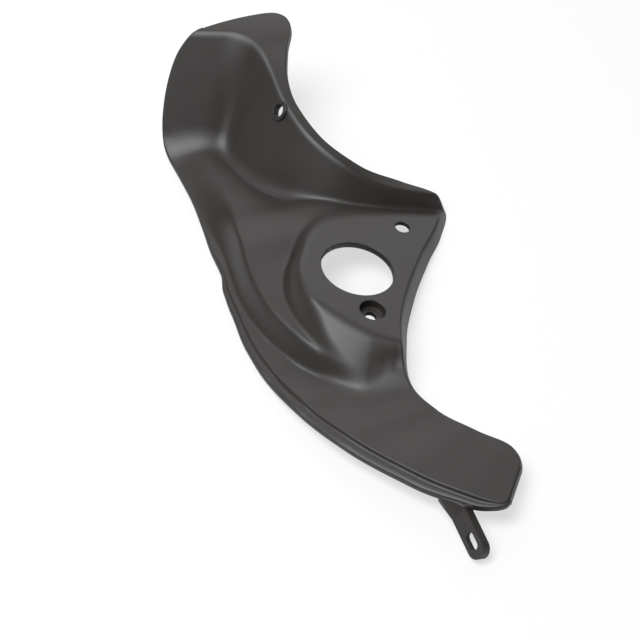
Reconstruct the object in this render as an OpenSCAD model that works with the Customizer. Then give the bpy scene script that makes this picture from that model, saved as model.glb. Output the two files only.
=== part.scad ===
// Moulded side panel of a motorbike: one thin shell with a scoop, a raised shelf and a long tail.
// The shell is drawn as two skins over a grid. The grid runs along the panel (u) and across it (v).
// Each height is a smooth blend of a floor, a crest with the walls below it and a tilted shelf.
// Origin: middle of the footprint on the table, Y along the panel, Z up.

/* [Shell] */
// wall of the moulding, mm
wall = 2.8; // [2.2:0.1:3.4]
// number of grid steps along the panel
stepsLong = 58; // [48:2:62]
// number of grid steps across the panel
stepsWide = 26; // [20:2:28]
// height of the flat top at the foot of its line, mm
lobeTop = 63.5; // [61:0.5:65]
// fall of the lobe's front wall, mm down per mm across
lobeFall = 1.15; // [1:0.01:1.3]
// blend where the scoop walls meet the floor, mm
footBlend = 9; // [5:0.5:11]
// blend over the ridge line, mm
ridgeBlend = 2.4; // [1.5:0.1:4]
// depth of the shallow groove along the trough, mm
grooveDepth = 2; // [0:0.1:3]

/* [Shelf] */
// centre of the large opening on the upper face: x, y, z, mm
shelfCentre = [9, -6, 24.5]; // [-60:0.5:60]
// tilt of the shelf about X and Y, degrees
shelfTilt = [-5, 12, 0]; // [-14:1:14]
// blend over the crease above the shelf's ramp, mm
rampBlend = 2.5; // [1.5:0.5:5]

/* [Large opening] */
// diameter of the large round opening, mm
openingBore = 43; // [38:0.5:46]
// outer diameter of the collar under it, mm
collarWidth = 50; // [48:0.5:54]
// length of the wall through the opening, mm
collarDepth = 4; // [3.6:0.1:6]

/* [Fixing holes] */
// diameter of the plain clip hole near the right corner, mm
clipBore = 9; // [7:0.5:10]
// place of the plain clip hole in the shelf plane: x, y, mm
clipAt = [29, 42]; // [-60:0.5:60]
// place of the screw recess in the shelf plane: x, y, mm
recessAt = [7.5, -32.5]; // [-60:0.5:60]
// diameter of the screw recess at its mouth, mm
recessMouth = 15; // [13:0.5:16]
// depth of the screw recess to its seat, mm
recessDepth = 5; // [4:0.5:6]
// diameter of the screw hole in the recess, mm
screwBore = 6.5; // [5.5:0.1:7]
// outer diameter of the cup round the recess, mm
cupWidth = 19.5; // [18.5:0.5:21]
// place of the scoop hole in plan: x, y, mm
scoopHoleAt = [-38, 104.5]; // [-60:0.5:120]
// diameter of the scoop hole, mm
scoopBore = 8; // [6:0.5:9]
// diameter of the flat pad round the scoop hole, mm
scoopPad = 13; // [11:0.5:15]
// lean of the scoop hole about X and Y, degrees
scoopLean = [20, -47, 0]; // [-60:1:60]

/* [Rim] */
// drop of the overlap step on the left rim, mm
stepDrop = 1.8; // [1:0.1:2.5]
// width of the overlap strip outside the step, mm
stripWide = 5.4; // [4:0.1:7]

/* [Tab] */
// end of the tab on its face: x, y, z, mm
tabTip = [68.5, -188, 6.4]; // [-200:0.5:80]
// start of the tab on its face: x, y, z, mm
tabRoot = [58.5, -163.5, 11]; // [-200:0.5:80]
// width of the tab, mm
tabWide = 11.5; // [11:0.5:13]
// depth of the lip behind the tab, mm
tabLip = 5; // [4:0.5:6]
// width of the slot, mm
slotWide = 5.5; // [4.5:0.5:5.5]
// length of the slot, mm
slotLong = 10; // [8:0.5:11]

/* [Hidden] */
$fn = 48;
black = [0.11, 0.11, 0.105];

// Edges of the upper skin in plan at equal steps of u.
leftEdge = [
    [-89, 158], [-101.5, 147], [-109, 130], [-110, 112], [-101, 92], [-91, 70], [-83, 47], [-77, 27], [-70, 9],
    [-66, -6], [-60, -22], [-50, -47], [-37, -70], [-18, -95], [7, -119], [39, -142], [66, -156], [83, -162]
];
rightEdge = [
    [-38, 174], [-31.5, 162], [-33.5, 143], [-33, 123.5], [-26, 104], [-10, 82.5], [12, 70.5], [37, 68.5],
    [59.5, 64], [56.5, 42], [47, 17], [37.5, -14], [32, -46], [35, -79], [50, -100], [70, -114.5],
    [87, -124.5], [93, -134.5]
];
// Heights at the same steps: left rim, and floor inside it.
rimHeight = [10, 10, 10, 9, 5.5, 4, 3.6, 4, 5.8, 6, 6, 6, 7.5, 11, 14, 16, 17, 17];
floorHeight = [12, 12, 12, 12, 11.5, 12.5, 15.5, 19.5, 21.5, 20.5, 20.5, 20.5, 20, 16, 15.8, 16.6, 17.3, 17.1];
// Rim details at the same steps: step drop and strip width as shares, drop of the left lip in mm.
stepShare = [0.1, 0.1, 0.1, 0.1, 0.1, 0.1, 0.1, 0.12, 0.5, 0.55, 0.6, 0.7, 0.8, 0.9, 1, 1, 1, 0.3];
stripShare = [0.1, 0.1, 0.1, 0.1, 0.1, 0.1, 0.1, 0.1, 0.15, 0.45, 0.6, 0.8, 1, 1.1, 1.2, 1.1, 0.8, 0.2];
leftLip = [2.8, 2.8, 2.8, 2.8, 2.8, 2.8, 2.8, 2.8, 2.8, 2.8, 2.8, 2.8, 2.8, 2.8, 3, 3.5, 4, 3.2];
// Skirt on the right edge at the same steps: reach outward and lowest height, mm.
skirtReach = [1, 1, 1, 1, 1, 1.2, 1.4, 1.8, 4, 4.2, 4.4, 4.6, 4.4, 2.6, 2, 2, 2, 2];
skirtFoot = [60, 60, 58, 52, 43, 34, 24, 13, 0, 1, 3.5, 7, 9, 10, 11, 12, 12, 12];

// Foot of the flat top in plan, where the lobe's front wall starts to fall, mm.
topLine = [[-140, 157], [-64, 154.5], [40, 147]];
// Right wall, seen from a point outside the panel: ridge radius, ridge height and fall, each at equal turns.
wallCentre = [45, 150];
wallStart = 165;
wallTurn = 15;
sideWall = [
    [103, 66, 1.27], [95.5, 63.5, 1.27], [91.3, 56.5, 1.27], [91, 49.8, 1.27], [92.5, 44, 1.2],
    [93, 36.5, 1.15], [91.7, 26, 1.35], [87.6, 17.5, 1.65], [86, 11, 1.9]
];
// Blend in the valley between the two walls, at its foot and at the top, mm.
valleyBlend = [8, 26];
// Bottom of the groove along the trough, in plan, mm.
grooveLine = [[-56, 147], [-64, 132], [-71, 119], [-70, 104], [-59, 89], [-45, 72], [-33, 58], [-20, 50]];
grooveWide = 9;
// Middle of the soft slope between the rim and the floor, in plan, mm.
slopeLine = [
    [-104, 110], [-88, 78], [-73, 46], [-65, 22], [-60, 3], [-55, -13], [-46.5, -31], [-35.5, -46.5], [-23, -60],
    [-9, -71], [6, -79], [40, -92], [90, -117]
];
// Edge of the shelf, seen from the large opening: radius, fall and blend, each at equal turns.
edgeStart = 45;
edgeTurn = 15;
shelfEdge = [
    [78, 0.4, 3], [64, 0.4, 3], [54, 0.4, 3], [48.5, 0.45, 3], [44.5, 0.5, 3], [41.5, 0.65, 3.5], [38.5, 0.95, 5],
    [35.5, 1.4, 6], [34, 1.75, 8], [34.6, 1.8, 8], [35.8, 1.83, 8], [37.8, 1.85, 8], [40.8, 1.8, 8],
    [45.8, 1.6, 7], [53.5, 1.4, 5], [61, 1.2, 4], [68, 1.1, 4], [80, 1.1, 4]
];
// Crease above the shelf's front ramp: x, y and the ramp's fall.
rampTop = [
    [80, -84, 1], [48, -68, 1], [34, -62, 0.95], [27, -60.3, 0.85], [20, -58.6, 0.78], [14.8, -56.9, 0.76],
    [7, -53, 0.74], [0, -48.5, 0.72], [-8, -43, 0.75], [-20, -36, 0.8], [-60, -16, 1]
];

stations = len(leftEdge) - 1;
shelfNormal = [cos(shelfTilt.x) * sin(shelfTilt.y), -sin(shelfTilt.x), cos(shelfTilt.x) * cos(shelfTilt.y)];
topBow = 2.5;
footprint = [9, 6.5, 0];
rollRows = 4;
endReach = 3;
endFoot = 12;
outOf = unit([1, -0.28]);

function unit(a) = a / norm(a);
function clamp01(t) = min(1, max(0, t));
function ease(t) = let(c = clamp01(t)) c * c * (3 - 2 * c);
// Smooth larger and smooth smaller of two heights with a blend of size k.
function upper(a, b, k) = let(h = max(k - abs(a - b), 0) / k) max(a, b) + h * h * k / 4;
function lower(a, b, k) = -upper(-a, -b, k);

// Spline through a list at place s, for numbers and for points.
function pick(list, i) = list[min(len(list) - 1, max(0, i))];
function spline(list, s) =
    let(i = min(len(list) - 2, floor(s)), t = s - i)
    let(a = pick(list, i - 1), b = pick(list, i), c = pick(list, i + 1), d = pick(list, i + 2))
    b + 0.5 * t * (c - a + t * (2 * a - 5 * b + 4 * c - d + t * (3 * (b - c) + d - a)));
function smooth(list, steps) = [for (k = [0:(len(list) - 1) * steps]) spline(list, k / steps)];

// Straight blend in a list, without overshoot.
function along(list, s) =
    let(i = min(len(list) - 2, floor(s)))
    let(t = ease(s - i))
    list[i] * (1 - t) + list[i + 1] * t;

slopeFine = smooth(slopeLine, 2);
grooveFine = smooth(grooveLine, 2);
rampFine = smooth(rampTop, 3);

// Signed distance from a bent line (positive on its right-hand side) and share along it.
function toPiece(p, a, b) =
    let(d = [b.x - a.x, b.y - a.y], e = [p.x - a.x, p.y - a.y], t = clamp01((e * d) / (d * d)), r = e - t * d)
    [norm(r), e.x * d.y - e.y * d.x, t];
function nearest(all, i = 0, best = 0) =
    i == len(all) ? best : nearest(all, i + 1, all[i][0] < all[best][0] - 1e-6 ? i : best);
function fromLine(p, line) =
    let(all = [for (i = [0:len(line) - 2]) toPiece(p, line[i], line[i + 1])])
    let(k = nearest(all))
    [all[k][1] > 0 ? all[k][0] : -all[k][0], k + all[k][2]];

// Distance and turn in degrees from a point.
function around(p, c) = [norm([p.x - c.x, p.y - c.y]), (atan2(p.y - c.y, p.x - c.x) + 360) % 360];
function atTurn(list, turn, start, turnStep) = spline(list, min(len(list) - 1, max(0, (turn - start) / turnStep)));

// Height of the flat shelf, of its front ramp and of its falling edge.
function shelfPlane(p) =
    shelfCentre.z - (shelfNormal.x * (p.x - shelfCentre.x) + shelfNormal.y * (p.y - shelfCentre.y)) / shelfNormal.z;
function shelf(p) =
    let(z = shelfPlane(p), polar = around(p, shelfCentre), edge = atTurn(shelfEdge, polar[1], edgeStart, edgeTurn))
    let(front = fromLine(p, rampFine), i = min(len(rampFine) - 2, floor(front[1])))
    let(fall = rampFine[i].z + (front[1] - i) * (rampFine[i + 1].z - rampFine[i].z))
    lower(lower(z, z + fall * front[0], rampBlend), z - edge.y * (polar[0] - edge.x), edge.z);

// Height of the lobe's front wall and of the right wall, which meet in a valley.
function walls(p) =
    let(polar = around(p, wallCentre), ridge = atTurn(sideWall, polar[1], wallStart, wallTurn))
    let(side = ridge.y - ridge.z * (polar[0] - ridge.x))
    let(lobe = lobeTop - lobeFall * fromLine(p, topLine)[0])
    let(share = ease((max(lobe, side) - 22) / 38))
    upper(lobe, side, valleyBlend[0] + (valleyBlend[1] - valleyBlend[0]) * share);
// The flat top between the ridge and the right edge keeps the ridge's height.
function crest(p) = atTurn(sideWall, around(p, wallCentre)[1], wallStart, wallTurn).y;
function scoop(p) = lower(crest(p), walls(p), ridgeBlend);

// Height of the floor between the left rim and the foot of the walls, kept under the shelf's face.
function ground(p, s) =
    let(low = along(rimHeight, s), high = spline(floorHeight, s), d = fromLine(p, slopeFine)[0])
    let(wide = 11 + 20 * ease((7.5 - s) / 3) + 50 * ease((s - 12.3) / 1.3))
    let(rise = 0.8 * ease(0.5 - d / wide) + 0.2 * ease(0.5 - d / 44))
    lower(low + (high - low) * rise, shelfPlane(p) - 3.5 + 0.3 * max(0, -20 - p.y), 4);

// Shallow groove along the bottom of the trough, fading at both ends.
function groove(p) =
    let(near = fromLine(p, grooveFine), share = near[1] / 2)
    -grooveDepth * ease(share / 2) * ease((7 - share) / 2) * exp(-pow(near[0] / grooveWide, 2));

// Plan of the face with rounded corners at both ends and a slight bow at the horn.
function roundOff(t) = 1 - sqrt(1 - t * t);
function plan(s, v) =
    let(tail = roundOff(clamp01((s - stations + 0.4) / 0.4)), horn = roundOff(clamp01(1 - s / 0.6)))
    let(low = 0.13 * tail + 0.06 * horn, high = 1 - 0.13 * tail - 0.17 * horn, w = low + (high - low) * v)
    spline(leftEdge, s) * (1 - w) + spline(rightEdge, s) * w + [0, topBow * 4 * w * (1 - w) * pow(max(0, 1 - s / 2), 2)];
function height(p, s) = upper(upper(ground(p, s), scoop(p), footBlend) + groove(p), shelf(p), 3);

function steepness(s, v) =
    let(p = plan(s, v), q = [p.x + 0.5, p.y], r = [p.x, p.y + 0.5], z = height(p, s))
    sqrt(1 + pow((height(q, s) - z) / 0.5, 2) + pow((height(r, s) - z) / 0.5, 2));

// Outward direction of the left and right edges in plan.
function turned(d) = unit([d.y, -d.x]);
function outLeft(s) = turned(spline(leftEdge, min(stations, s + 0.2)) - spline(leftEdge, max(0, s - 0.2)));
function outRight(s) = -turned(spline(rightEdge, min(stations, s + 0.2)) - spline(rightEdge, max(0, s - 0.2)));

inset = wall + 0.5;
function widthAt(s) = norm(spline(rightEdge, s) - spline(leftEdge, s));
function lift(p, z) = [p.x, p.y, z];

// One row of the outer skin: left lip, strip and step, then the face, then the right skirt.
function outerRow(s) =
    let(a = plan(s, 0), b = plan(s, 1), za = height(a, s), zb = height(b, s), ol = outLeft(s), or = outRight(s))
    let(drop = stepDrop * along(stepShare, s), wide = stripWide * along(stripShare, s), lip = along(leftLip, s))
    let(reach = along(skirtReach, s), fall = max(wall + 0.8, zb - along(skirtFoot, s)))
    [
        lift(a + ol * (wide + 1), max(0, za - drop - lip)),
        lift(a + ol * (wide + 0.8), za - drop - 0.7),
        lift(a + ol * (wide + 0.3), za - drop - 0.1),
        lift(a + ol * 0.55, za - drop),
        lift(a + ol * 0.25, za - 0.3 * drop),
        for (j = [0:stepsWide]) let(p = plan(s, j / stepsWide)) lift(p, height(p, s)),
        lift(b + or * (0.3 * reach), zb - 0.5),
        lift(b + or * (0.55 * reach), zb - 0.2 * fall),
        lift(b + or * (0.8 * reach), zb - 0.6 * fall),
        lift(b + or * reach, zb - fall)
    ];

// The same row of the inner skin, one wall thickness inside.
function innerRow(s) =
    let(a = plan(s, 0), b = plan(s, 1), za = height(a, s), zb = height(b, s), ol = outLeft(s), or = outRight(s))
    let(drop = stepDrop * along(stepShare, s), wide = stripWide * along(stripShare, s), lip = along(leftLip, s))
    let(reach = along(skirtReach, s), fall = max(wall + 0.8, zb - along(skirtFoot, s)), cut = inset / widthAt(s))
    let(foot = max(0, za - drop - lip))
    [
        lift(a + ol * (wide + 1 - 0.8 * wall), foot),
        lift(a + ol * (wide + 0.7 - 0.8 * wall), max(foot + 0.05, za - drop - wall)),
        lift(a + ol * (wide + 0.3 - 0.8 * wall), max(foot + 0.1, za - drop - wall)),
        lift(a + ol * min(0.2, wide - 0.8 * wall) - ol * wall * 0.4, max(foot + 0.15, za - drop - wall)),
        lift(a - ol * (0.75 * wall), max(foot + 0.2, za - 0.5 * drop - wall)),
        for (j = [0:stepsWide])
            let(v = cut + (1 - 2 * cut) * j / stepsWide, p = plan(s, v))
            lift(p, height(p, s) - wall * min(1.9, steepness(s, v))),
        lift(b + or * (0.3 * reach - wall), zb - wall - 0.4),
        lift(b + or * (0.55 * reach - wall), min(zb - wall - 0.5, zb - 0.2 * fall)),
        lift(b + or * (0.8 * reach - wall), min(zb - wall - 0.6, zb - 0.6 * fall)),
        lift(b + or * (reach - wall), zb - fall)
    ];

// Rows that roll over at the tail end: the face moves out and drops to the foot, the margins only drop.
firstFace = 5;
function rollRow(row, k, back) =
    let(t = k / rollRows, out = endReach * sin(70 * t) / sin(70), down = pow(t, 2.2))
    [for (j = [0:len(row) - 1])
        let(p = row[j], across = 2 * clamp01((j - firstFace) / stepsWide) - 1)
        let(move = out * sqrt(1 - pow(across, 6)) - back)
        [p.x + outOf.x * move, p.y + outOf.y * move, p.z - max(0, p.z - endFoot) * down]];

rowsAt = [
    0, 0.05, 0.13, for (i = [1:stepsLong - 1]) stations * i / stepsLong, stations - 0.12, stations - 0.04, stations
];
outerRows = [for (s = rowsAt) outerRow(s)];
innerRows = [for (s = rowsAt) innerRow(s)];
lastRow = len(rowsAt) - 1;
lastOuter = outerRows[lastRow];
lastInner = innerRows[lastRow];
outerAll = concat(outerRows, [for (k = [1:rollRows]) rollRow(lastOuter, k, 0)]);
innerAll = concat(
    [for (i = [0:lastRow - 1]) innerRows[i]],
    [rollRow(lastInner, 0, 0.9 * wall)],
    [for (k = [1:rollRows]) rollRow(lastInner, k, 0.9 * wall)]
);

module shell() {
    across = len(outerAll[0]);
    rows = len(outerAll);
    total = across * rows;
    points = concat([for (row = outerAll) each row], [for (row = innerAll) each row]);
    function at(i, j) = i * across + j;
    top = [for (i = [0:rows - 2], j = [0:across - 2])
        each [[at(i, j), at(i + 1, j + 1), at(i + 1, j)], [at(i, j), at(i, j + 1), at(i + 1, j + 1)]]];
    under = [for (f = top) [total + f[0], total + f[2], total + f[1]]];
    sides = [for (i = [0:rows - 2], j = [0, across - 1])
        let(a = at(i, j), b = at(i + 1, j))
        each (j == 0
            ? [[a, total + b, total + a], [a, b, total + b]]
            : [[a, total + a, total + b], [a, total + b, b]])];
    ends = [for (i = [0, rows - 1], j = [0:across - 2])
        let(a = at(i, j), b = at(i, j + 1))
        each (i == 0
            ? [[a, total + b, b], [a, total + a, total + b]]
            : [[a, b, total + b], [a, total + b, total + a]])];
    polyhedron(points, concat(top, under, sides, ends));
}

// Frame of the shelf: its origin is the centre of the large opening on the upper face.
module onShelf(at = [0, 0]) {
    translate(shelfCentre) rotate(shelfTilt) translate([at.x, at.y, 0]) children();
}

// Frame of the scoop hole on the scoop wall.
module onScoop() {
    translate([scoopHoleAt.x, scoopHoleAt.y, walls(scoopHoleAt)]) rotate(scoopLean) children();
}

// Frame of the tab: X along it to the tip, Y across it, Z out of its face.
tabLong = unit(tabTip - tabRoot);
tabFace = unit(cross(tabLong, cross([-0.75, -0.42, 0.5], tabLong)));
tabSide = cross(tabFace, tabLong);
tabReach = norm(tabTip - tabRoot);
module onTab() {
    multmatrix([
        [tabLong.x, tabSide.x, tabFace.x, tabRoot.x],
        [tabLong.y, tabSide.y, tabFace.y, tabRoot.y],
        [tabLong.z, tabSide.z, tabFace.z, tabRoot.z],
        [0, 0, 0, 1]
    ]) children();
}

module tabOutline(grow) {
    end = tabReach - tabWide / 2;
    translate([end, 0]) circle(d = tabWide + 2 * grow);
    translate([-2, -tabWide / 2 - grow]) square([end + 2, tabWide + 2 * grow]);
}

module tab() {
    onTab() {
        translate([0, 0, -wall]) linear_extrude(wall) tabOutline(0);
        translate([0, 0, -tabLip]) linear_extrude(tabLip) difference() {
            tabOutline(0);
            tabOutline(-2.2);
            translate([-3, -tabWide]) square([tabReach - 5, tabWide]);
        }
    }
}

// Web that carries the folded edge of the strip over into the tab's face and into its lip.
module tabWeb() {
    hull() {
        onTab() translate([-1, -tabWide / 2, -wall]) cube([2, tabWide, wall]);
        translate([50, -154.5, 8.8]) cylinder(d = 2.4, h = 4.2);
        translate([58, -157.5, 8.8]) cylinder(d = 2.4, h = 4.6);
    }
    hull() {
        onTab() translate([-1, tabWide / 2 - 2.2, -tabLip]) cube([2, 2.2, tabLip]);
        translate([57, -157, 11]) cylinder(d = 2.4, h = 2.6);
        translate([67.5, -161, 11.4]) cylinder(d = 2.4, h = 2.5);
    }
}

module slot() {
    gap = slotLong - slotWide;
    onTab() translate([tabReach - tabWide / 2 - 4.2, 0, 0]) {
        for (x = [-gap / 2, gap / 2]) translate([x, 0, -wall - 1]) cylinder(d = slotWide, h = wall + 2);
        translate([-gap / 2, -slotWide / 2, -wall - 1]) cube([gap, slotWide, wall + 2]);
    }
}

module side_panel() {
    color(black)
    translate(footprint)
    difference() {
        union() {
            shell();
            onShelf() translate([0, 0, -collarDepth]) cylinder(d = collarWidth, h = collarDepth - 0.6);
            onShelf(recessAt) translate([0, 0, -recessDepth - wall]) cylinder(d = cupWidth, h = recessDepth + wall - 0.6);
            onScoop() translate([0, 0, -wall - 1]) cylinder(d = scoopPad, h = wall + 1.6);
            tab();
            tabWeb();
        }
        onShelf() translate([0, 0, -12]) cylinder(d = openingBore, h = 24, $fn = 120);
        onShelf(clipAt) translate([0, 0, -10]) cylinder(d = clipBore, h = 20);
        onShelf(recessAt) translate([0, 0, -recessDepth]) cylinder(d = recessMouth, h = 20);
        onShelf(recessAt) translate([0, 0, -20]) cylinder(d = screwBore, h = 30);
        onScoop() translate([0, 0, -10]) cylinder(d = scoopBore, h = 20);
        slot();
    }
}

side_panel();
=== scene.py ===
import math
import bpy
import bmesh
import numpy as np
from mathutils import Matrix, Vector


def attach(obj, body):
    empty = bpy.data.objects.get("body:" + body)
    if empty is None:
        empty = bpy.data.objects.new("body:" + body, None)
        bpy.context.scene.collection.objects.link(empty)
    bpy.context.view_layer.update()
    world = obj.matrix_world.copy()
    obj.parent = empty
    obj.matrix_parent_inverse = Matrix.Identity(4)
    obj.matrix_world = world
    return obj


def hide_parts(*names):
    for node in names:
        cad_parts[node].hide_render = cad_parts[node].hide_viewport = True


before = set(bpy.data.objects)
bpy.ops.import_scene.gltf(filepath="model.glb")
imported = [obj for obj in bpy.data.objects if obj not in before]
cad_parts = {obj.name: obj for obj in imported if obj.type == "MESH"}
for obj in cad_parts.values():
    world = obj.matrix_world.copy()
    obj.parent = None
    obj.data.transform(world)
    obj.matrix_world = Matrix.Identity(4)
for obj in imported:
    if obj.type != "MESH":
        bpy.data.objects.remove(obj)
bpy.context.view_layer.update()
mm = 0.001

# the shell, all in millimetres
shell = {
    "wall": 2.8, "lobeTop": 63.5, "lobeFall": 1.15, "ridgeBlend": 2.4, "wallCentre": (45, 150),
    "valleyBlend": (8.0, 26.0), "valleyFrom": 22.0, "valleyOver": 38.0,  # wider blend between tall walls
    "footBlend": (9.0, 2.5), "footFrom": 5.0, "footOver": 1.8,  # fillet under the walls, tight by the shelf
    "grooveDepth": 2.0, "grooveWide": 9.0, "topBow": 2.5, "shelfBlend": 3.0,
    "stepDrop": 1.8, "stripWide": 5.4, "skirtLeast": 0.8, "thickest": 1.9,
    "footprint": (9, 6.5, 0), "long": 330, "wide": 118,
}
tailEnd = {
    "rows": 7, "reach": 2.2, "foot": 12.0, "turn": 70.0, "along": (1, -0.28), "curl": 2.2, "inset": 0.9,
}
corner = {"tailOver": 0.4, "hornOver": 0.6, "tail": 0.13, "hornLeft": 0.06, "hornRight": 0.17}
slope = {
    "wide": 11.0, "hornWide": 20.0, "hornUntil": 7.5, "hornOver": 3.0,
    "tailWide": 50.0, "tailFrom": 12.3, "tailOver": 1.3, "share": 0.8, "farWide": 44.0,
    "capUnder": 3.5, "capRise": 0.3, "capFrom": -20.0, "capBlend": 4.0,
}
shelf = {"centre": (9, -6, 24.5), "tilt": (-5, 12), "blend": 2.5}

# edges in plan, and what changes along them, at one station after another from the horn to the tail
leftEdge = np.array([
    (-89, 158), (-101.5, 147), (-109, 130), (-110, 112), (-101, 92), (-91, 70), (-83, 47), (-77, 27), (-70, 9),
    (-66, -6), (-60, -22), (-50, -47), (-37, -70), (-18, -95), (7, -119), (39, -142), (66, -156), (83, -162),
], float)
rightEdge = np.array([
    (-38, 174), (-31.5, 162), (-33.5, 143), (-33, 123.5), (-26, 104), (-10, 82.5), (12, 70.5), (37, 68.5),
    (59.5, 64), (56.5, 42), (47, 17), (37.5, -14), (32, -46), (35, -79), (50, -100), (70, -114.5), (87, -124.5),
    (93, -134.5),
], float)
rimHeight = np.array([10, 10, 10, 9, 5.5, 4, 3.6, 4, 5.8, 6, 6, 6, 7.5, 11, 14, 16, 17, 17], float)
floorHeight = np.array(
    [12] * 4 + [11.5, 12.5, 15.5, 19.5, 21.5, 20.5, 20.5, 20.5, 20, 16, 15.8, 16.6, 17.3, 17.1], float)
stepShare = np.array([0.1] * 7 + [0.12, 0.5, 0.55, 0.6, 0.7, 0.8, 0.9, 1, 1, 1, 0.3], float)
stripShare = np.array([0.1] * 8 + [0.15, 0.45, 0.6, 0.8, 1, 1.1, 1.2, 1.1, 0.8, 0.2], float)
leftLip = np.array([2.8] * 14 + [3, 3.5, 4, 3.2], float)
skirtReach = np.array([1, 1, 1, 1, 1, 1.2, 1.4, 1.8, 4, 4.2, 4.4, 4.6, 4.4, 2.6, 2, 2, 2, 2], float)
skirtFoot = np.array([60, 60, 58, 52, 43, 34, 24, 13, 0, 1, 3.5, 7, 9, 10, 11, 12, 12, 12], float)

topLine = np.array([(-140, 157), (-64, 154.5), (40, 147)], float)  # foot of the flat top, above the lobe wall
# right wall in polar form round wallCentre: the ridge's radius and height and the wall's fall
sideWall = np.array([
    (103, 66, 1.27), (95.5, 63.5, 1.27), (91.3, 56.5, 1.27), (91, 49.8, 1.27), (92.5, 44, 1.2), (93, 36.5, 1.15),
    (91.7, 26, 1.35), (87.6, 17.5, 1.65), (86, 11, 1.9),
], float)
# shelf's edge in polar form round the shelf's centre: radius, fall and blend
shelfEdge = np.array([
    (78, 0.4, 3), (64, 0.4, 3), (54, 0.4, 3), (48.5, 0.45, 3), (44.5, 0.5, 3), (41.5, 0.65, 3.5),
    (38.5, 0.95, 5), (35.5, 1.4, 6), (34, 1.75, 8), (34.6, 1.8, 8), (35.8, 1.83, 8), (37.8, 1.85, 8),
    (40.6, 1.8, 8), (45.2, 1.65, 7), (52.6, 1.45, 5), (61, 1.2, 4), (68, 1.1, 4), (80, 1.1, 4),
], float)
polar = {"sideWall": 165, "shelfEdge": 45, "turn": 15}  # first direction of each, and the turn between two
grooveLine = np.array([
    (-56, 147), (-64, 132), (-71, 119), (-70, 104), (-59, 89), (-45, 72), (-33, 58), (-20, 50),
], float)
slopeLine = np.array([
    (-104, 110), (-88, 78), (-73, 46), (-65, 22), (-60, 3), (-55, -13), (-46.5, -31), (-35.5, -46.5),
    (-23, -60), (-9, -71), (6, -79), (40, -92), (90, -117),
], float)
# crease above the ramp, in plan, with the ramp's fall
rampTop = np.array([
    (80, -84, 1), (48, -68, 1), (34, -62, 0.95), (27, -60.3, 0.85), (20, -58.6, 0.72), (14.8, -56.9, 0.66),
    (7, -53, 0.64), (0, -48.5, 0.62), (-8, -43, 0.66), (-20, -36, 0.8), (-60, -16, 1),
], float)

# turns of the margins: lip (out, down), step (out, further where wide, share of drop), skirt (out, share)
lipTurn = ((0.95, 0.8), (0.75, 0.35), (0.4, 0.08))
stepTurn = ((0.9, 1.1, 1), (0.62, 0.88, 0.9), (0.48, 0.62, 0.66), (0.36, 0.34, 0.32), (0.2, 0.15, 0.08))
skirtTurn = ((0.1, 0.02), (0.2, 0.06), (0.32, 0.13), (0.45, 0.25), (0.6, 0.42), (0.8, 0.7), (0.92, 0.87))
faceStart = 3 + len(lipTurn) + len(stepTurn)  # column where the face starts

stations = len(leftEdge) - 1
tiltX, tiltY = (math.radians(a) for a in shelf["tilt"])
shelfNormal = np.array([
    math.cos(tiltX) * math.sin(tiltY), -math.sin(tiltX), math.cos(tiltX) * math.cos(tiltY),
])


def ease(t):
    c = np.clip(t, 0, 1)
    return c * c * (3 - 2 * c)


def upper(a, b, k):  # smooth larger of two heights
    h = np.maximum(k - np.abs(a - b), 0) / k
    return np.maximum(a, b) + h * h * k / 4


def lower(a, b, k):
    return -upper(-a, -b, k)


def spline(points, s):  # smooth curve through the points
    s = np.asarray(s, float)
    last = len(points) - 1
    i = np.clip(np.floor(s).astype(int), 0, last - 1)
    t = s - i
    if points.ndim == 2:
        t = t[..., None]
    a, b, c, d = (points[np.clip(i + k, 0, last)] for k in (-1, 0, 1, 2))
    return b + 0.5 * t * (c - a + t * (2 * a - 5 * b + 4 * c - d + t * (3 * (b - c) + d - a)))


def smooth(points, steps):
    return spline(points, np.arange((len(points) - 1) * steps + 1) / steps)


def along(values, s):  # value at a place between the stations, level at each of them
    i = np.clip(np.floor(s).astype(int), 0, len(values) - 2)
    t = ease(s - i)
    return values[i] * (1 - t) + values[i + 1] * t


def fromLine(p, line):  # signed distance (positive on the right-hand side) and share along the line
    best = np.full(p.shape[:-1], 1e9)
    side = np.zeros_like(best)
    share = np.zeros_like(best)
    for i in range(len(line) - 1):
        a, d = line[i][:2], (line[i + 1] - line[i])[:2]
        e = p - a
        t = np.clip((e @ d) / (d @ d), 0, 1)
        r = np.linalg.norm(e - t[..., None] * d, axis=-1)
        closer = r < best - 1e-6
        best = np.where(closer, r, best)
        side = np.where(closer, e[..., 0] * d[1] - e[..., 1] * d[0], side)
        share = np.where(closer, i + t, share)
    return np.where(side > 0, best, -best), share


slopeFine = smooth(slopeLine, 4)
grooveFine = smooth(grooveLine, 4)
rampFine = smooth(rampTop, 5)


def around(p, centre, values, start):  # distance from the centre, and the polar values in that direction
    x, y = p[..., 0] - centre[0], p[..., 1] - centre[1]
    share = (np.degrees(np.arctan2(y, x)) % 360 - start) / polar["turn"]
    return np.hypot(x, y), spline(values, np.clip(share, 0, len(values) - 1))


def shelfPlane(p):
    c, n = shelf["centre"], shelfNormal
    return c[2] - (n[0] * (p[..., 0] - c[0]) + n[1] * (p[..., 1] - c[1])) / n[2]


def shelfHeight(p):
    z = shelfPlane(p)
    r, edge = around(p, shelf["centre"], shelfEdge, polar["shelfEdge"])
    front, share = fromLine(p, rampFine)
    rampFall = np.interp(share, np.arange(len(rampFine)), rampFine[:, 2])
    ramp = lower(z, z + rampFall * front, shelf["blend"])
    return lower(ramp, z - edge[..., 1] * (r - edge[..., 0]), edge[..., 2])


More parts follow.
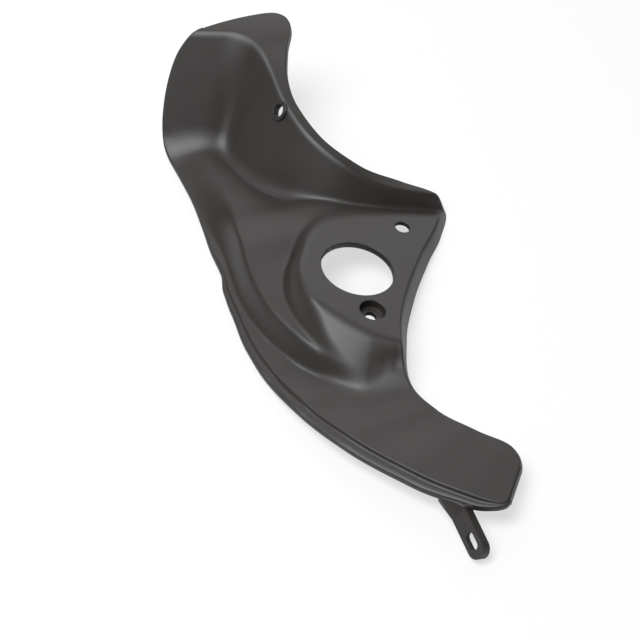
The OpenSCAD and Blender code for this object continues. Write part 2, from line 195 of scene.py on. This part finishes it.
def wallHeight(p):  # lobe wall and right wall, which carry on upward past the crest, and the crest's height
    r, ridge = around(p, shell["wallCentre"], sideWall, polar["sideWall"])
    lobe = shell["lobeTop"] - shell["lobeFall"] * fromLine(p, topLine)[0]
    side = ridge[..., 1] - ridge[..., 2] * (r - ridge[..., 0])
    low, high = shell["valleyBlend"]
    up = ease((np.maximum(lobe, side) - shell["valleyFrom"]) / shell["valleyOver"])
    return upper(lobe, side, low + (high - low) * up), ridge[..., 1]


def scoopHeight(p):
    wall, crest = wallHeight(p)
    return lower(crest, wall, shell["ridgeBlend"])


def groundHeight(p, s):
    low, high = along(rimHeight, s), spline(floorHeight, s)
    d = fromLine(p, slopeFine)[0]
    wide = slope["wide"] + slope["hornWide"] * ease((slope["hornUntil"] - s) / slope["hornOver"])
    wide = wide + slope["tailWide"] * ease((s - slope["tailFrom"]) / slope["tailOver"])
    rise = slope["share"] * ease(0.5 - d / wide) + (1 - slope["share"]) * ease(0.5 - d / slope["farWide"])
    # the floor stays under the shelf's plane
    cap = shelfPlane(p) - slope["capUnder"] + slope["capRise"] * np.maximum(0, slope["capFrom"] - p[..., 1])
    return lower(low + (high - low) * rise, cap, slope["capBlend"])


def grooveHeight(p):  # shallow groove along the bottom of the trough, fading at both ends
    d, share = fromLine(p, grooveFine)
    share = share / 4
    ends = ease(share / 2) * ease((len(grooveLine) - 1 - share) / 2)
    return -shell["grooveDepth"] * ends * np.exp(-(d / shell["grooveWide"]) ** 2)


def plan(s, v):  # place in plan at station s, from the left edge at v = 0 to the right edge at 1
    tail = np.clip((s - stations + corner["tailOver"]) / corner["tailOver"], 0, 1)
    horn = np.clip(1 - s / corner["hornOver"], 0, 1)
    tail, horn = 1 - np.sqrt(1 - tail * tail), 1 - np.sqrt(1 - horn * horn)  # rounded corners at both ends
    low = corner["tail"] * tail + corner["hornLeft"] * horn
    high = 1 - corner["tail"] * tail - corner["hornRight"] * horn
    v = (low + (high - low) * np.asarray(v, float))[..., None]
    p = spline(leftEdge, s) * (1 - v) + spline(rightEdge, s) * v
    bow = shell["topBow"] * 4 * v[..., 0] * (1 - v[..., 0]) * np.maximum(0, 1 - s / 2) ** 2
    return p + np.stack([np.zeros_like(bow), bow], -1)


def height(p, s):
    wide, tight = shell["footBlend"]
    fillet = wide + (tight - wide) * ease((s - shell["footFrom"]) / shell["footOver"])
    body = upper(groundHeight(p, s), scoopHeight(p), fillet) + grooveHeight(p)
    return upper(body, shelfHeight(p), shell["shelfBlend"])


def steepness(p, s, step=0.5):
    z = height(p, s)
    gx = (height(p + (step, 0), s) - z) / step
    gy = (height(p + (0, step), s) - z) / step
    return np.sqrt(1 + gx * gx + gy * gy)


def outward(v, s, sign, step=0.03):  # away from the panel, along the edge at v
    d = plan(np.minimum(stations, s + step), v) - plan(np.maximum(0, s - step), v)
    n = np.stack([d[:, 1], -d[:, 0]], -1) * sign
    return n / np.linalg.norm(n, axis=1, keepdims=True)


def column(base, direction, out, z):  # one line of points beside an edge
    return np.concatenate([base + direction * np.asarray(out)[:, None], np.asarray(z)[:, None]], 1)[:, None]


def rolled(row, k, back):  # a row that turns down over the tail end, with its corners rounded
    t, turn = k / tailEnd["rows"], math.radians(tailEnd["turn"])
    out = tailEnd["reach"] * math.sin(turn * t) / math.sin(turn)
    direction = np.array(tailEnd["along"]) / math.hypot(*tailEnd["along"])
    base = row[np.clip(np.arange(len(row)), faceStart, faceStart + shell["wide"]), :2]
    already = np.maximum(0, (row[:, :2] - base) @ direction)
    new = row.copy()
    new[:, :2] += direction * (np.maximum(0, out - already) - back)[:, None]
    new[:, 2] -= np.maximum(0, row[:, 2] - tailEnd["foot"]) * t ** tailEnd["curl"]
    return new[None]


def skins():  # outer and inner skin: left lip and step, face, right skirt
    wall, count = shell["wall"], shell["long"] + 1
    s = np.linspace(0, stations, count)
    v = np.linspace(0, 1, shell["wide"] + 1)
    S, V = np.meshgrid(s, v, indexing="ij")
    a, b = plan(s, np.zeros(count)), plan(s, np.ones(count))
    za, zb = height(a, s), height(b, s)
    ol, rt = outward(0, s, 1), outward(1, s, -1)
    drop, wide = shell["stepDrop"] * along(stepShare, s), shell["stripWide"] * along(stripShare, s)
    soft = np.clip((wide - 1) / 3, 0, 1)  # the step spreads where the strip is wide enough
    reach = along(skirtReach, s)
    fall = np.maximum(wall + shell["skirtLeast"], zb - along(skirtFoot, s))
    foot = np.maximum(0, za - drop - along(leftLip, s))

    face = plan(S, V)
    outer = [column(a, ol, wide + 1, foot), column(a, ol, wide + 1, 0.75 * foot + 0.25 * (za - drop))]
    outer += [column(a, ol, wide + out, za - drop - down) for out, down in lipTurn]
    outer += [column(a, ol, 0.5 * wide + 0.6, za - drop)]
    outer += [column(a, ol, out + more * soft, za - share * drop) for out, more, share in stepTurn]
    outer += [np.concatenate([face, height(face, S)[..., None]], -1)]
    outer += [column(b, rt, out * reach, zb - share * fall) for out, share in skirtTurn]
    outer += [column(b, rt, reach, zb - fall)]

    def inside(up, share):  # height under the strip and the step, always above the foot
        return np.maximum(foot + up, za - share * drop - wall)

    cut = (wall + 0.5) / np.linalg.norm(spline(rightEdge, s) - spline(leftEdge, s), axis=1)[:, None]
    under = plan(S, cut + (1 - 2 * cut) * V)
    depth = height(under, S) - wall * np.minimum(shell["thickest"], steepness(under, S))
    inset, one = 0.8 * wall, np.ones(count)
    lipUp, stripUp = ((1, 0), (0.95, 0.01), (0.9, 0.02), (0.8, 0.04)), ((0.7, 0.05), (0.5, 0.08), (0.3, 0.1))
    inner = [column(a, ol, wide + out - inset, foot + up) for out, up in lipUp]
    inner += [column(a, ol, wide + out - inset, inside(up, 1)) for out, up in stripUp]
    inner += [
        column(a, ol, np.minimum(0.3, wide + 0.1 - inset) - 0.3 * wall, inside(0.12, 1)),
        column(a, ol, np.minimum(0.2, wide - inset) - 0.4 * wall, inside(0.15, 1)),
        column(a, ol, -0.65 * wall * one, inside(0.18, 0.7)),
        column(a, ol, -0.75 * wall * one, inside(0.2, 0.5)),
        np.concatenate([under, depth[..., None]], -1),
    ]
    for k, (out, share) in enumerate(skirtTurn):
        z = np.minimum(zb - wall - 0.4 - 0.02 * k, zb - share * fall)
        inner.append(column(b, rt, out * reach - wall, z))
    inner.append(column(b, rt, reach - wall, zb - fall))

    outer, inner = np.concatenate(outer, 1), np.concatenate(inner, 1)
    rows, back = range(1, tailEnd["rows"] + 1), tailEnd["inset"] * wall
    outer = [outer] + [rolled(outer[-1], k, 0) for k in rows]
    inner = [inner[:-1]] + [rolled(inner[-1], k, back) for k in (0, *rows)]
    return np.concatenate(outer), np.concatenate(inner)


def meshObject(name, points, faces):
    mesh = bpy.data.meshes.new(name)
    mesh.from_pydata([tuple(p) for p in points], [], faces)
    mesh.validate()
    obj = bpy.data.objects.new(name, mesh)
    bpy.context.scene.collection.objects.link(obj)
    return obj


def shellObject():
    outer, inner = skins()
    rows, across = outer.shape[:2]
    total = rows * across
    points = np.concatenate([outer.reshape(-1, 3), inner.reshape(-1, 3)]) + np.array(shell["footprint"])

    def at(i, j):
        return i * across + j

    faces = []
    for i in range(rows - 1):
        for j in range(across - 1):
            q = (at(i, j), at(i, j + 1), at(i + 1, j + 1), at(i + 1, j))
            faces.append(q[::-1])
            faces.append(tuple(total + x for x in q))
        a, b = at(i, 0), at(i + 1, 0)
        faces.append((a, b, total + b, total + a)[::-1])
        a, b = at(i, across - 1), at(i + 1, across - 1)
        faces.append((a, b, total + b, total + a))
    for j in range(across - 1):
        a, b = at(0, j), at(0, j + 1)
        faces.append((a, b, total + b, total + a))
        a, b = at(rows - 1, j), at(rows - 1, j + 1)
        faces.append((a, b, total + b, total + a)[::-1])
    obj = meshObject("panel_shell", points * mm, faces)
    work = bmesh.new()
    work.from_mesh(obj.data)
    bmesh.ops.recalc_face_normals(work, faces=work.faces)
    work.to_mesh(obj.data)
    work.free()
    return obj


print("shell settings read,", stations, "stations")


# frames for the holes, as in the solid
def shelfFrame(at=(0, 0)):
    turn = Matrix.Rotation(tiltY, 4, "Y") @ Matrix.Rotation(tiltX, 4, "X")
    base = Vector(shelf["centre"]) + Vector(shell["footprint"])
    return Matrix.Translation(base * mm) @ turn @ Matrix.Translation((at[0] * mm, at[1] * mm, 0))


holes = {
    "opening": {"bore": 43.0, "collar": 50.0, "depth": 4.0, "soft": 0.5},
    "clip": {"bore": 9.0, "at": (29, 42), "soft": 0.35},
    "recess": {"mouth": 15.0, "depth": 5.0, "bore": 6.5, "at": (7.5, -32.5), "cup": 19.5, "soft": 0.5,
               "boreSoft": 0.25},
    "scoop": {"bore": 8.0, "pad": 13.0, "proud": 0.6, "at": (-38, 104.5), "lean": (20, -47), "soft": 0.3},
}
tab = {
    "tip": (68.5, -188, 6.4), "root": (58.5, -163.5, 11), "faceSide": (-0.75, -0.42, 0.5), "wide": 11.5,
    "lip": 5.0, "lipWall": 2.2, "slotWide": 5.5, "slotLong": 10.0, "slotBack": 4.2,
    "plateFeet": ((50, -154.5, 8.8, 4.2), (58, -157.5, 8.8, 4.6)),
    "lipFeet": ((57, -157, 11, 2.6), (67.5, -161, 11.4, 2.5)), "footWide": 2.4,
}


def scoopFrame():
    at = np.array(holes["scoop"]["at"], float)
    z = float(wallHeight(at[None])[0][0])
    ax, ay = (math.radians(a) for a in holes["scoop"]["lean"])
    base = Vector((at[0], at[1], z)) + Vector(shell["footprint"])
    return Matrix.Translation(base * mm) @ Matrix.Rotation(ay, 4, "Y") @ Matrix.Rotation(ax, 4, "X")


def tabFrame():
    root, tip = Vector(tab["root"]), Vector(tab["tip"])
    long = (tip - root).normalized()
    face = long.cross(Vector(tab["faceSide"]).cross(long)).normalized()
    side = face.cross(long)
    m = Matrix((long, side, face)).transposed().to_4x4()
    m.translation = (root + Vector(shell["footprint"])) * mm
    return m, (tip - root).length


def lathe(name, profile, place, sides=96):  # closed solid turned from (radius, height) pairs in mm
    points, faces = [], []
    for r, h in profile:
        for k in range(sides):
            a = 2 * math.pi * k / sides
            points.append((r * math.cos(a) * mm, r * math.sin(a) * mm, h * mm))
    for i in range(len(profile) - 1):
        for k in range(sides):
            n = (k + 1) % sides
            faces.append((i * sides + k, i * sides + n, (i + 1) * sides + n, (i + 1) * sides + k))
    faces.append(tuple(range(sides))[::-1])
    faces.append(tuple((len(profile) - 1) * sides + k for k in range(sides)))
    obj = meshObject(name, points, faces)
    obj.data.transform(place)
    return obj


def flare(r, soft, low, high, top, bottom=None):  # cutter profile with rounded mouths
    steps = [math.radians(a) for a in (0, 18, 36, 54, 72, 90)]
    mouth = [(r + soft - soft * math.cos(a), top - soft + soft * math.sin(a)) for a in steps]
    profile = []
    if bottom is not None:
        profile += [(r + soft, low)]
        profile += [(r + soft - soft * math.cos(a), bottom + soft - soft * math.sin(a)) for a in steps[::-1]]
    else:
        profile += [(r, low)]
    profile += mouth + [(r + soft, high)]
    return profile


def outlinePrism(name, outline, low, high, place):
    n = len(outline)
    points = [(x * mm, y * mm, z * mm) for z in (low, high) for x, y in outline]
    faces = [(k, (k + 1) % n, n + (k + 1) % n, n + k) for k in range(n)]
    faces += [tuple(range(n))[::-1], tuple(range(n, 2 * n))]
    obj = meshObject(name, points, faces)
    obj.data.transform(place)
    return obj


def arc(x, radius, start, steps):  # half a circle round a point on the middle line
    turns = [math.radians(start + 180 * k / steps) for k in range(steps + 1)]
    return [(x + radius * math.cos(a), radius * math.sin(a)) for a in turns]


def roundEnd(end, half, start):  # strip with one round end
    return [(start, -half)] + arc(end, half, -90, 24) + [(start, half)]


def slotLine(centre, gap, half):
    return arc(centre + gap / 2, half, -90, 20) + arc(centre - gap / 2, half, 90, 20)


def hullObject(name, clouds):  # smallest convex solid round the points, in mm in the row frame
    work = bmesh.new()
    for p in clouds:
        work.verts.new(Vector(p) * mm)
    made = bmesh.ops.convex_hull(work, input=work.verts)
    inside = [g for g in made["geom_interior"] if isinstance(g, bmesh.types.BMVert)]
    bmesh.ops.delete(work, geom=inside, context="VERTS")
    bmesh.ops.recalc_face_normals(work, faces=work.faces)
    mesh = bpy.data.meshes.new(name)
    work.to_mesh(mesh)
    work.free()
    obj = bpy.data.objects.new(name, mesh)
    bpy.context.scene.collection.objects.link(obj)
    return obj


def posts(feet, sides=24):  # the rims of upright posts
    x0, y0 = shell["footprint"][:2]
    r = tab["footWide"] / 2
    ring = [2 * math.pi * k / sides for k in range(sides)]
    return [(x + x0 + r * math.cos(a), y + y0 + r * math.sin(a), v)
            for x, y, z, tall in feet for a in ring for v in (z, z + tall)]


def block(place, low, high):  # corners of a block given in a frame, brought to the row frame in mm
    corners = [(x, y, z) for x in (low[0], high[0]) for y in (low[1], high[1]) for z in (low[2], high[2])]
    return [(place @ (Vector(c) * mm)) / mm for c in corners]


def boolean(target, tool, operation):
    mod = target.modifiers.new("cut", "BOOLEAN")
    mod.operation, mod.object, mod.solver = operation, tool, "MANIFOLD"
    view = bpy.context.evaluated_depsgraph_get()
    mesh = bpy.data.meshes.new_from_object(target.evaluated_get(view))
    target.modifiers.remove(mod)
    old = target.data
    target.data = mesh
    bpy.data.meshes.remove(old)
    bpy.data.objects.remove(tool)


panel = shellObject()
print("shell faces", len(panel.data.polygons))

wall = shell["wall"]
opening, clip, recess, scoop = (holes[k] for k in ("opening", "clip", "recess", "scoop"))
skinDeep = -0.6  # the parts under the skin start inside it
collar = [(opening["collar"] / 2, -opening["depth"]), (opening["collar"] / 2, skinDeep)]
boolean(panel, lathe("collar", collar, shelfFrame()), "UNION")
cup = [(recess["cup"] / 2, -recess["depth"] - wall), (recess["cup"] / 2, skinDeep)]
boolean(panel, lathe("cup", cup, shelfFrame(recess["at"])), "UNION")
edge = scoop["pad"] / 2
pad = [(edge, -wall - 1), (edge, scoop["proud"] / 2), (edge - scoop["soft"], scoop["proud"])]
boolean(panel, lathe("pad", pad, scoopFrame()), "UNION")

place, tabReach = tabFrame()
half, end = tab["wide"] / 2, tabReach - tab["wide"] / 2
boolean(panel, outlinePrism("tab_plate", roundEnd(end, half, -2), -wall, 0, place), "UNION")
lipShape = roundEnd(end, half, -2)[1:] + roundEnd(end, half - tab["lipWall"], -2)[:0:-1]
boolean(panel, outlinePrism("tab_lip", lipShape, -tab["lip"], -0.4, place), "UNION")
web = block(place, (-1, -half, -wall), (1, half, 0)) + posts(tab["plateFeet"])
boolean(panel, hullObject("web_face", web), "UNION")
web = block(place, (-1, half - tab["lipWall"], -tab["lip"]), (1, half, 0)) + posts(tab["lipFeet"])
boolean(panel, hullObject("web_lip", web), "UNION")
print("collar, cup, pad and tab joined")

cut = flare(opening["bore"] / 2, opening["soft"], -14, 14, 0, -opening["depth"])
boolean(panel, lathe("cut_opening", cut, shelfFrame(), 160), "DIFFERENCE")
cut = flare(clip["bore"] / 2, clip["soft"], -10, 10, 0, -wall)
boolean(panel, lathe("cut_clip", cut, shelfFrame(clip["at"])), "DIFFERENCE")
mouth, seat = recess["mouth"] / 2, -recess["depth"]
cut = [(mouth - 0.8, seat), (mouth - 0.2, seat + 0.2), (mouth, seat + 0.8)]
cut += flare(mouth, recess["soft"], -1, 12, 0)[1:]
boolean(panel, lathe("cut_recess", cut, shelfFrame(recess["at"])), "DIFFERENCE")
cut = flare(recess["bore"] / 2, recess["boreSoft"], -20, 4, seat)
boolean(panel, lathe("cut_screw", cut, shelfFrame(recess["at"]), 64), "DIFFERENCE")
cut = flare(scoop["bore"] / 2, scoop["soft"], -12, 12, scoop["proud"])
boolean(panel, lathe("cut_scoop", cut, scoopFrame(), 64), "DIFFERENCE")
slot = slotLine(end - tab["slotBack"], tab["slotLong"] - tab["slotWide"], tab["slotWide"] / 2)
boolean(panel, outlinePrism("cut_slot", slot, -wall - 1, 1, place), "DIFFERENCE")
print("panel cut,", len(panel.data.polygons), "faces")

panel.name = "panel"
panel.data.shade_smooth()
bpy.context.view_layer.objects.active = panel
panel.select_set(True)
bpy.ops.object.shade_smooth_by_angle(angle=math.radians(38))


class Sock:  # a socket that takes part in plain arithmetic
    def __init__(self, tree, out):
        self.tree, self.out = tree, out

    def op(self, kind, other, flip=False):
        node = self.tree.nodes.new("ShaderNodeMath")
        node.operation = kind
        pair = (other, self) if flip else (self, other)
        for k, value in enumerate(pair):
            if isinstance(value, Sock):
                self.tree.links.new(value.out, node.inputs[k])
            else:
                node.inputs[k].default_value = value
        return Sock(self.tree, node.outputs[0])

    def __add__(self, other): return self.op("ADD", other)
    def __radd__(self, other): return self.op("ADD", other, True)
    def __sub__(self, other): return self.op("SUBTRACT", other)
    def __rsub__(self, other): return self.op("SUBTRACT", other, True)
    def __mul__(self, other): return self.op("MULTIPLY", other)
    def __rmul__(self, other): return self.op("MULTIPLY", other, True)


class Shader:
    def __init__(self, name):
        self.material = bpy.data.materials.new(name)
        self.material.use_nodes = True
        self.tree = self.material.node_tree
        self.tree.nodes.clear()

    def node(self, kind, output=0, settings=None, **values):
        node = self.tree.nodes.new(kind)
        for key, value in (settings or {}).items():
            setattr(node, key, value)
        for key, value in values.items():
            socket = node.inputs[key.replace("_", " ")]
            if isinstance(value, Sock):
                self.tree.links.new(value.out, socket)
            else:
                socket.default_value = value
        return Sock(self.tree, node.outputs[output]) if len(node.outputs) else None


plastic = {
    "dark": (0.018, 0.0161, 0.0148, 1), "light": (0.026, 0.0235, 0.0218, 1), "contrast": 2.2,
    "roughness": 0.44, "cloudRough": 0.10, "grainRough": 0.08,
    "cloud": 22.0, "patch": 110.0, "grain": 2600.0, "fineGrain": 6200.0, "grainDepth": 0.00006,
}


def mattPlastic():
    mat = Shader("matt_black_plastic")
    where = mat.node("ShaderNodeTexCoord", output=3)
    cloud = mat.node("ShaderNodeTexNoise", Vector=where, Scale=plastic["cloud"], Detail=4.0, Roughness=0.55)
    patch = mat.node("ShaderNodeTexNoise", Vector=where, Scale=plastic["patch"], Detail=3.0, Roughness=0.6)
    grain = mat.node("ShaderNodeTexNoise", Vector=where, Scale=plastic["grain"], Detail=2.0, Roughness=0.6)
    fine = mat.node("ShaderNodeTexNoise", Vector=where, Scale=plastic["fineGrain"], Detail=1.0)
    tone = cloud * 0.6 + patch * 0.25 + grain * 0.15
    colour = mat.node("ShaderNodeMix", output=2, settings={"data_type": "RGBA"},
                      Factor=(tone - 0.3) * plastic["contrast"], A=plastic["dark"], B=plastic["light"])
    rough = plastic["roughness"] + (cloud - 0.5) * plastic["cloudRough"] + (grain - 0.5) * plastic["grainRough"]
    bump = mat.node("ShaderNodeBump", Height=grain * 0.7 + fine * 0.3,
                    Distance=plastic["grainDepth"], Strength=0.5)
    surface = mat.node("ShaderNodeBsdfPrincipled", Roughness=rough, Normal=bump, IOR=1.5)
    mat.tree.links.new(colour.out, surface.out.node.inputs["Base Color"])
    mat.node("ShaderNodeOutputMaterial", Surface=surface)
    return mat.material


panel.data.materials.clear()
panel.data.materials.append(mattPlastic())
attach(panel, "root")
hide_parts("side_panel")
print("panel done")

# white paper and four lights; spots and sizes in metres, power in watts
studio = {"world": 0.13, "floor": (0.82, 0.82, 0.82, 1), "glow": (0.98, 0.98, 0.975, 1), "lift": 0.66}
lights = {
    "key": {"spot": (-0.9, -0.35, 1.4), "aim": (0, 0, 0), "size": (0.45, 0.45), "power": 5.0},
    "top": {"spot": (-0.4, -0.2, 1.5), "aim": (0, -0.05, 0), "size": (1.0, 0.8), "power": 24.0},
    "left": {"spot": (-1.7, -0.1, 0.38), "aim": (0, 0, 0.1), "size": (1.6, 0.5), "power": 0.8},
    "back": {"spot": (0.1, 1.7, 1.1), "aim": (0, 0, 0.1), "size": (2.4, 1.5), "power": 19.0},
}
floorMesh = meshObject("floor", [(-6, -6, 0), (6, -6, 0), (6, 6, 0), (-6, 6, 0)], [(0, 1, 2, 3)])
floorMat = Shader("floor_white")
paper = floorMat.node("ShaderNodeBsdfPrincipled", Roughness=0.75)
paper.out.node.inputs["Base Color"].default_value = studio["floor"]
glow = floorMat.node("ShaderNodeEmission", Color=studio["glow"])
seen = floorMat.node("ShaderNodeLightPath") * studio["lift"]  # the camera sees softer shadows on the paper
soft = floorMat.node("ShaderNodeMixShader", Fac=seen)
for k, part in enumerate((paper, glow)):
    floorMat.tree.links.new(part.out, soft.out.node.inputs[k + 1])
floorMat.node("ShaderNodeOutputMaterial", Surface=soft)
floorMesh.data.materials.append(floorMat.material)

world = bpy.data.worlds.new("studio")
bpy.context.scene.world = world
world.use_nodes = True
world.node_tree.nodes["Background"].inputs["Color"].default_value = (1, 1, 1, 1)
world.node_tree.nodes["Background"].inputs["Strength"].default_value = studio["world"]


def areaLight(name, spot, aim, size, power):
    data = bpy.data.lights.new(name, "AREA")
    data.shape, data.size, data.size_y, data.energy = "RECTANGLE", size[0], size[1], power
    lamp = bpy.data.objects.new(name, data)
    lamp.location = spot
    lamp.rotation_euler = (Vector(aim) - Vector(spot)).to_track_quat("-Z", "Y").to_euler()
    bpy.context.scene.collection.objects.link(lamp)


for name, light in lights.items():
    areaLight(name, **light)
print("studio lit")

view = {"distance": 0.9, "elevation": 50.0, "aim": (-0.0038, -0.0177, 0.0), "lens": 87.28}
camData = bpy.data.cameras.new("camera")
camData.lens, camData.sensor_width = view["lens"], 36.0
camera = bpy.data.objects.new("camera", camData)
up = math.radians(view["elevation"])
offset = Vector((0, -math.cos(up), math.sin(up))) * view["distance"]
camera.location = Vector(view["aim"]) + offset
camera.rotation_euler = (-offset).to_track_quat("-Z", "Y").to_euler()
bpy.context.scene.collection.objects.link(camera)
bpy.context.scene.camera = camera
bpy.context.scene.view_settings.view_transform = "Standard"

print("scene ready")
